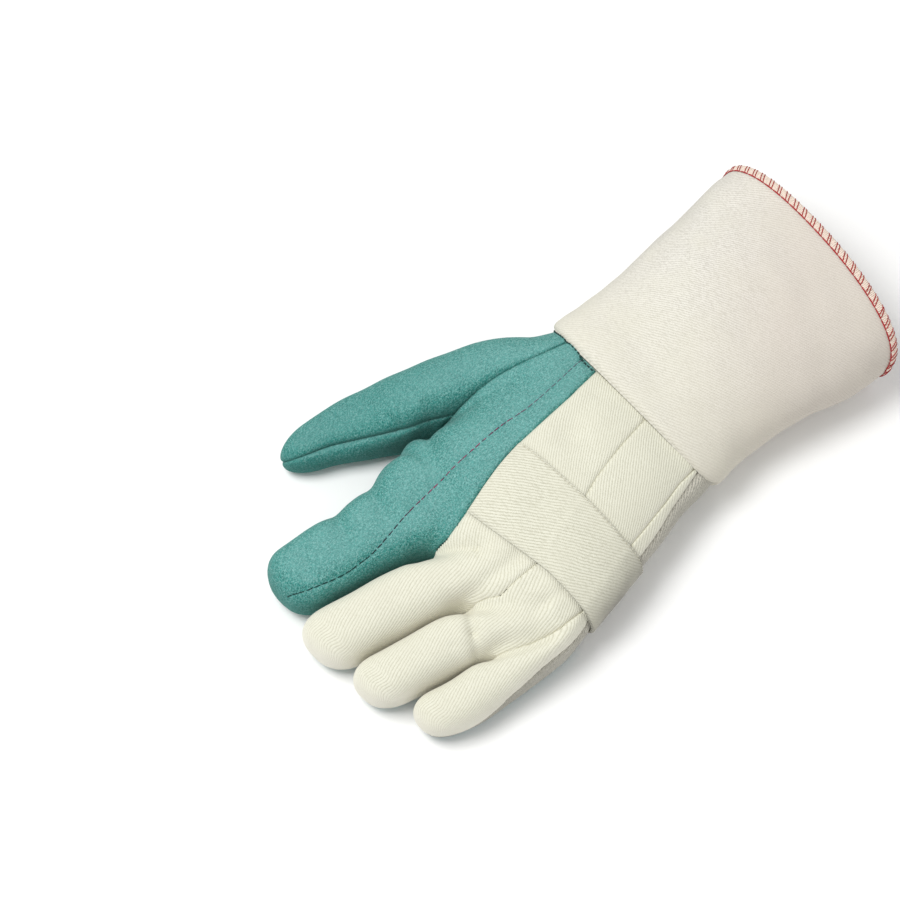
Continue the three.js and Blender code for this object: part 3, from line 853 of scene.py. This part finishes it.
def cloth(name, limits, blocks, material, slot, nodes, finger=None):
    """A piece of the hand's cloth: the shell within limits, over a range of the grid's blocks."""
    cut = slice(max(FIRST_COLUMN[blocks[0]] - 2, 0), FIRST_COLUMN[blocks[1]] + 3)
    field = soft_max(SHELL[cut], (limits - TUCK_IN)[cut], SEAM_ROUND)
    points, faces = surface_net(field, [g[cut] for g in (GX, GY, GZ)])
    uv = None if finger is None else strip_weave(points, finger)
    build(name, points, faces[:, ::-1], material, slot, nodes, uv)


past_ring, past_middle, past_index, past_thumb = [GX - line(GY) for line in LINES[1:5]]
above = GZ - side_seam
fleece = np.minimum(region(past_thumb, above), region(-past_index, past_thumb))
side_strip = np.maximum(GX - along(GY, SIDE_STRIP_LIMIT), GZ - along(GY, SIDE_STRIP_HEIGHT))
# name, region, first and last block, material, slot, nodes it replaces, finger it runs on as
PIECES = [
    ("palm_and_index_fleece", fleece, (0, 4), FLEECE, "fleece", ("palm_panel", "index_back_panel")),
    ("thumb_outer_fleece", region(-past_thumb, -halves), (4, 5), FLEECE, "fleece", ("thumb_outer",)),
    ("thumb_inner_fleece", region(-past_thumb, halves), (4, 5), FLEECE, "fleece", ("thumb_inner",)),
    ("middle_strip_twill", region(-past_middle, past_index, -above), (2, 3),
     TWILL, "twill", ("back_strip_middle",), "middle"),
    ("ring_strip_twill", region(-past_ring, past_middle, -above), (1, 2),
     TWILL, "twill", ("back_strip_ring",), "ring"),
    ("little_strip_twill", region(past_ring, -above, -side_strip), (0, 1),
     TWILL, "twill", ("back_strip_little",), "little"),
    ("side_strip_twill", region(past_ring, -above, side_strip), (0, 1),
     SIDE_TWILL, "twill", ("side_strip",), "little"),
]
for piece in PIECES:
    cloth(*piece)


# Sheets of cloth on a grid of rows and columns
def grid_faces(rows, columns, close_rows=False, close_columns=False, turned=False):
    i = np.arange(rows if close_rows else rows - 1)
    j = np.arange(columns if close_columns else columns - 1)
    i, j = np.repeat(i, len(j)), np.tile(j, len(i))
    up, on = (i + 1) % rows, (j + 1) % columns
    faces = np.stack([i * columns + j, up * columns + j, up * columns + on, i * columns + on], axis=1)
    return faces[:, ::-1] if turned else faces


def wall_faces(ring, count):
    """Faces that join a closed ring of corners with the one whose corners are count further on."""
    on = np.roll(ring, -1)
    return np.stack([ring, on, on + count, ring + count], axis=1)


def two_skins(outer, inner, faces, *walls):
    """Corners and faces of a sheet's two skins, with walls between them."""
    points = np.concatenate([outer.reshape(-1, 3), inner.reshape(-1, 3)])
    return points, np.concatenate([faces, faces[:, ::-1] + len(points) // 2, *walls])


# Knuckle strap: a doubled band of twill that lies on the strips
STRAP_ACROSS = 44
STRAP_ALONG = 112


def ray_place(angle, y):
    """Points of the hand's outer face at angles round its sections, before the seams are drawn in."""
    middle, widest, *_ = section(*read(HAND, y, SECTION))
    centre = np.stack([middle, y, widest], axis=-1)
    way = np.stack([np.cos(angle), 0 * angle, np.sin(angle)], axis=-1)
    low, high = np.full(y.shape, 5.0), np.full(y.shape, 75.0)
    for _ in range(18):
        half = (low + high) / 2
        p = centre + way * half[..., None]
        inside = sample(BASE_STUFFED, p) < 0
        low, high = np.where(inside, half, low), np.where(inside, high, half)
    return centre + way * ((low + high) / 2)[..., None]


def strap_places():
    """Places under the strap: rows from the fleece seam to its end at the side, columns across it."""
    turn = np.linspace(0, 1, STRAP_ALONG)[:, None]
    across = np.linspace(0, 1, STRAP_ACROSS)
    # a first guess, bettered in a few rounds
    first, foot = math.radians(66), math.radians(191)
    y = np.full((STRAP_ALONG, STRAP_ACROSS), 45.0)
    for _ in range(5):
        angle = first + (foot - first) * turn + 0 * across
        x = ray_place(angle, y)[..., 0]
        low, high = along(x, STRAP_WRIST_EDGE), along(x, STRAP_FINGER_EDGE)
        y = low + (high - low) * across
        left, right, _, top = read(HAND, y[0], SECTION)
        seam_x = index_line(y[0]) - 0.4
        first = np.arctan2(top * (1 - BELLY) * 0.99, seam_x - (left + right) / 2)
        left, right = read(HAND, y[-1], (1, 2))
        foot = np.arctan2(STRAP_END - top * BELLY, (left - right) / 2) % (2 * math.pi)
    return settle(BASE_STUFFED, ray_place(first + (foot - first) * turn, y), 3)


grid = strap_places()
strap_out = slope(BASE_STUFFED, grid, 1.5)
run, width = walk(grid), walk(grid.transpose(1, 0, 2)).T
lift = STRAP_THICKNESS + 0.15 + 0.12 * Noise(9, 26, 14)(*grid.transpose(2, 0, 1))
lift += 0.35 * np.sin(math.pi * width / width[:, -1:])
lift -= valley(width - 1.1, 0.2, 0.6)
for line in (middle_line, ring_line):
    lift += valley(line_distance(grid[..., 0], grid[..., 1], line), 0.22, 1.6)
half = STRAP_THICKNESS / 2
for to_edge in (np.minimum(width, width[:, -1:] - width), np.minimum(run, run[-1:] - run)):
    lift = half + (lift - half) * quarter_round(to_edge / STRAP_ROLL)
STRAP_TOP = grid + strap_out * lift[..., None]
corner = np.arange(run.size).reshape(run.shape)
rim = np.concatenate([corner[0], corner[1:, -1], corner[-1, -2::-1], corner[-2:0:-1, 0]])
points, faces = two_skins(
    STRAP_TOP, grid + strap_out * 0.12, grid_faces(STRAP_ALONG, STRAP_ACROSS),
    wall_faces(rim, corner.size)[:, ::-1])
weave = np.stack([width.ravel(), run.ravel()], axis=1)
build("knuckle_strap_twill", points, faces, STRAP_TWILL, "twill", ("knuckle_strap",),
      np.concatenate([weave, weave]))


# Gauntlet cuff
def cuff_ring(reach, angle, offset=0, past=0):
    """Points round the cuff; angle 0 is the little finger's side, and a quarter turn the top.

    The reach counts from the origin towards the rim, and past is how far threads stand out over it.
    """
    left, right, base, top, bow, slant = [smooth(reach, -CUFF[:, 0], CUFF[:, c]) for c in range(1, 7)]
    middle, widest, half, rise, drop = section(left, right, base, top)
    x = middle - signed_power(np.cos(angle), 2 / ROUNDNESS) * (half + offset)
    lift = signed_power(np.sin(angle), 2 / ROUNDNESS)
    z = widest + lift * (np.where(lift > 0, rise, drop) + offset)
    z = soft_max(z, base - offset, CUFF_FLOOR_ROUND)
    y = -reach - past + slant * (x - middle) + bow * np.maximum(lift, 0) ** BOW_SHARE
    return np.stack([x, y, z], axis=-1)


def closed_weave(weave, faces, axis, turn):
    """Places on the weave at the faces' corners, a whole turn on where a face closes the ring."""
    corners = weave[faces]
    run = corners[..., axis]
    # no other face is 100 mm long
    behind = np.abs(run) < np.abs(run).max(1, keepdims=True) - 100
    run += np.where(behind, np.broadcast_to(turn, len(weave))[faces], 0)
    return corners


WRIST, RIM = -CUFF[0, 0], -CUFF[-1, 0]
ROUND = 330
LONG = 112
# angles spaced evenly along the oval
FINE_TURNS = np.linspace(-math.pi / 2, math.pi * 3 / 2, 4001)
RING_RUN = walk(cuff_ring(90, FINE_TURNS))
GIRTH = RING_RUN[-1]
TURNS = np.interp(np.arange(ROUND) / ROUND * GIRTH, RING_RUN, FINE_TURNS)
TUCK_ROWS = [0, 0.5, 1.1, 1.9, 2.8, 3.8]
reach = np.concatenate([WRIST + np.array(TUCK_ROWS), np.linspace(WRIST + 5, RIM, LONG - len(TUCK_ROWS))])
turns, reaches = np.meshgrid(TURNS, reach)
plain = cuff_ring(reaches, turns)
swell = Noise(34, 90, 16, (1.4, 1, 1))(*plain.transpose(2, 0, 1))
ripple = Noise(12, 30, 14)(*plain.transpose(2, 0, 1))
calm = step(reaches, WRIST, WRIST + 14) * step(reaches, RIM, RIM - 10)
bulge = (0.9 * swell + 0.16 * ripple) * (0.25 + 0.75 * calm) * step(plain[..., 2], 2, 12)
bulge -= CUFF_TUCK[0] * (1 - quarter_round((reaches - WRIST) / CUFF_TUCK[1]))
outer, inner = [cuff_ring(reaches, turns, bulge - deep) for deep in (0, CUFF_WALL - 0.2)]
first_row, count = np.arange(ROUND), reaches.size
points, faces = two_skins(
    outer, inner, grid_faces(len(reach), ROUND, close_columns=True),
    wall_faces(first_row, count)[:, ::-1], wall_faces(count - ROUND + first_row, count))
# the cloth narrows towards the wrist, and its ribs with it
narrowing = 0.82 + 0.18 * step(reaches, WRIST, RIM)
weave = np.stack([outer[..., 1], -np.interp(turns, FINE_TURNS, RING_RUN) * narrowing], axis=-1).reshape(-1, 2)
weave = closed_weave(np.concatenate([weave, weave]), faces, 1, -GIRTH * np.tile(narrowing.ravel(), 2))
build("gauntlet_cuff_twill", points, faces, CUFF_TWILL, "twill", ("gauntlet_cuff",), weave)


# Overlocked rim: a band of threads folded over the cuff's edge
def rim_point(reach, angle, offset, past=0):
    """Points off the cuff's outer face near its rim."""
    bulge = 0.9 * 0.25 * np.interp(angle, TURNS, swell[-1], period=2 * math.pi)
    bulge *= step(cuff_ring(reach, angle)[..., 2], 2, 12)
    return cuff_ring(reach, angle, offset + bulge, past)


# distance from the rim, height over the outer face, distance past the rim
BAND = [
    (BINDING_WIDTH, 0.25, 0), (BINDING_WIDTH - 0.2, 0.65, 0), (1.9, 0.82, 0), (1, 0.82, 0),
    (0.1, 0.75, 0), (0, 0.55, 0.45), (0, 0, 0.8), (0, -1, 0.9), (0, -2, 0.8), (0, -2.55, 0.45),
    (0.1, -2.75, 0), (1, -2.82, 0), (1.9, -2.82, 0), (BINDING_WIDTH - 0.2, -2.65, 0),
    (BINDING_WIDTH, -2.2, 0),
]
band = np.array([rim_point(RIM - back, TURNS, offset, past) for back, offset, past in BAND])
weave = np.meshgrid(np.interp(TURNS, FINE_TURNS, RING_RUN), walk(band.mean(1)))
faces = grid_faces(len(BAND), ROUND, close_rows=True, close_columns=True, turned=True)
weave = closed_weave(np.stack(weave, axis=-1).reshape(-1, 2), faces, 0, GIRTH)
build("rim_binding_threads", band.reshape(-1, 3), faces, BINDING, "binding", ("rim_binding",), weave)


# Threads
def tubes(paths, radius, sides=6):
    """Closed tubes of thread along paths with equally many points."""
    paths = np.asarray(paths, float)
    ahead = unit(np.gradient(paths, axis=1))
    side_way = unit(np.cross(ahead, [0.13, 0.27, 0.95]))
    up_way = np.cross(side_way, ahead)
    n, m = paths.shape[:2]
    size = np.full((m, 1, 1), radius)
    size[0] = size[-1] = radius * 0.45
    turn = np.arange(sides) / sides * 2 * math.pi
    ring = side_way[:, :, None] * np.cos(turn)[:, None] + up_way[:, :, None] * np.sin(turn)[:, None]
    points = paths[:, :, None] + ring * size
    body = grid_faces(m, sides, close_columns=True, turned=True)
    j = np.arange(sides)
    on = (j + 1) % sides
    last, tail = (m - 1) * sides, 0 * j + m * sides
    triangles = np.concatenate([
        body[:, [0, 1, 2]], body[:, [0, 2, 3]],
        np.stack([j, on, tail], axis=1), np.stack([on + last, j + last, tail + 1], axis=1)])
    points = np.concatenate([points.reshape(n, m * sides, 3), paths[:, :1], paths[:, -1:]], axis=1)
    base = np.arange(n)[:, None, None] * (m * sides + 2)
    return points.reshape(-1, 3), (triangles + base).reshape(-1, 3)


def along_path(path, values, at):
    """What belongs to a path's points, at distances along it."""
    return np.stack([np.interp(at, walk(path), value) for value in values.T], axis=-1)


def stitch_paths(path, out, length, gap, lift, sink, count=7):
    """Stitches along a path on the cloth, each arched over it and drawn in at its ends."""
    total = walk(path)[-1]
    number = int(total // (length + gap))
    starts = (np.arange(number) + 0.5) * total / number - length / 2
    starts += RNG.uniform(-0.12, 0.12, number) * length
    share = np.linspace(0, 1, count)
    at = starts[:, None] + share * length
    arch = lift - (lift + sink) * np.abs(2 * share - 1) ** 3
    return along_path(path, path, at) + unit(along_path(path, out, at)) * arch[:, None]


def on_cloth(x, y, z):
    """Points put onto the hand's outer face, and the ways out of it there."""
    p = settle(OUTER, np.stack([x, y, z], axis=1), 8)
    return p, slope(OUTER, p)


def quilt(points, low, high, from_above):
    """A quilting line on the hand's upper or under face, and the ways out of it."""
    y = np.arange(low, high, 0.6)
    x = as_line(points)(y)
    z = np.full(len(y), 6.0)
    for height in np.arange(0.5, 54.5, 0.5) if from_above else np.arange(11.5, -3, -0.5):
        inside = sample(OUTER, np.stack([x, y, 0 * x + height], axis=1)) < 0
        z = np.where(inside, height, z)
    return on_cloth(x, y, z)


# Quilting of the back and the palm
line = quilt(BACK_QUILT, -26, 153, from_above=True)
red = [stitch_paths(*line, length=3.6, gap=0.25, lift=0.14, sink=0.12)]
for points in PALM_QUILTS:
    line = quilt(points, -34, points[-1][0], from_above=False)
    red.append(stitch_paths(*line, length=3.4, gap=0.8, lift=0.12, sink=0.3))
build("quilting_thread", *tubes(np.concatenate(red), radius=0.26), QUILTING_THREAD, "fleece")

# Stitching along the strap's wrist edge
line = STRAP_TOP[3:-1, 1], strap_out[3:-1, 1]
stitches = stitch_paths(*line, length=1.4, gap=0.9, lift=0.2, sink=0.25, count=5)
build("strap_thread", *tubes(stitches, radius=0.22, sides=5), PALE_THREAD, "twill")

# Dark green threads where the fleece goes into the cuff
x, y, z = cuff_ring(WRIST, np.radians(np.linspace(96, 176, 120)), -1.5).T
knots, knots_out = on_cloth(x, y + 0.35, z + 1)
on_fleece = knots[:, 0] > index_line(knots[:, 1]) + 0.5
line = knots[on_fleece], knots_out[on_fleece]
stitches = stitch_paths(*line, length=1.5, gap=0.7, lift=0.55, sink=0.1, count=5)
build("wrist_thread", *tubes(stitches, radius=0.38, sides=5), DARK_THREAD, "fleece")


# Red overlocking threads: a line along the cloth's side, and slanted ones in pairs over the edge
def turn_at(run):
    """Angles round the cuff at distances round its rim."""
    return np.interp(run % GIRTH, RING_RUN, FINE_TURNS)


pairs = int(GIRTH // OVERLOCK_PAIR)
pair_step = GIRTH / pairs
base_lines = []
for offset in (0.42, -2.42):
    arch = 0.12 * np.sin(np.linspace(0, math.pi, 7)) * np.sign(offset + 1)
    for k in range(pairs):
        run = (k + np.linspace(0.02, 1, 7)) * pair_step
        base_lines.append(rim_point(RIM - BINDING_WIDTH - 0.1, turn_at(run), offset + arch))

# in the same measures as the band
STROKE = [
    (BINDING_WIDTH + 0.2, 0.45, 0), (2.3, 0.86, 0), (1.5, 0.92, 0), (0.6, 0.88, 0), (0, 0.76, 0.15),
    (0, 0.4, 0.65), (0, -1, 0.95), (0, -2.4, 0.65), (0, -2.76, 0.15), (0.8, -2.9, 0), (1.8, -2.9, 0),
    (BINDING_WIDTH, -2.45, 0),
]
back, offset, past = np.array(STROKE).T
share = np.clip(np.arange(len(STROKE)) / 5, 0, 1)
strokes = []
for k in range(pairs):
    for shift in (0, 1.7):
        lean = RNG.uniform(2.2, 3.2)
        bend = RNG.uniform(-0.25, 0.25)
        run = (k + 0.1) * pair_step + shift + lean * share + bend * np.sin(share * math.pi)
        strokes.append(rim_point(RIM - back, turn_at(run), offset, past))
build("rim_base_thread", *tubes(base_lines, radius=0.34), BASE_THREAD, "binding")
build("rim_thread", *tubes(strokes, radius=0.27), RIM_THREAD, "binding")


# Camera, light and floor
CAMERA_AIM = np.array([26.5, 47, 25])
CAMERA_FAR = 1192
CAMERA_TURN, CAMERA_RISE = math.radians(43), math.radians(65)
FLOOR_HALF = 4.0  # metres


def place_camera():
    """The photo's camera; gives its ways ahead, to the right and up."""
    c, s = math.cos(CAMERA_TURN), math.sin(CAMERA_TURN)
    flat = math.cos(CAMERA_RISE)
    look = np.array([c * flat, -s * flat, -math.sin(CAMERA_RISE)])
    right = np.array([-s, -c, 0])
    data = bpy.data.cameras.new("camera")
    data.lens, data.sensor_width = 100, 36
    data.clip_start, data.clip_end = 0.05, 20
    camera = add_object("camera", data)
    camera.location = Vector(CAMERA_AIM - OUTLINE_MIDDLE - CAMERA_FAR * look) * MM
    camera.rotation_euler = Vector(look).to_track_quat("-Z", "Y").to_euler()
    bpy.context.scene.camera = camera
    return look, right, np.cross(right, look)


def soft_light(name, way, far, size, power):
    """A square light that looks at the glove from a way off it."""
    data = bpy.data.lights.new(name, "AREA")
    data.energy, data.size = power, size
    light = add_object(name, data)
    way = Vector(way).normalized()
    light.location = Vector((0, 0, 0.02)) + way * far
    light.rotation_euler = (-way).to_track_quat("-Z", "Y").to_euler()


look, right, up = place_camera()
soft_light("key", 0.42 * up - 0.46 * right - 0.9 * look, 1.5, 0.7, 15.5)
soft_light("fill", -0.2 * up + 0.9 * right - 0.8 * look, 1.6, 1.4, 1)
world = bpy.data.worlds.new("studio")
world.use_nodes = True
sky = world.node_tree.nodes["Background"].inputs
sky["Color"].default_value = (1, 1, 1, 1)
sky["Strength"].default_value = 0.62
bpy.context.scene.world = world
bpy.context.scene.view_settings.view_transform = "Standard"

n = Nodes("floor")
tone = n.layers((250, 250, 249), (n.noise(3), 0, 1, 0, 1, (253, 253, 252)))
floor_data = bpy.data.meshes.new("floor")
corners = [(x * FLOOR_HALF, y * FLOOR_HALF, 0) for x, y in ((-1, -1), (1, -1), (1, 1), (-1, 1))]
floor_data.from_pydata(corners, [], [(0, 1, 2, 3)])
floor_data.materials.append(n.finish(tone))
floor = add_object("floor", floor_data)
floor.location.z = -0.0002
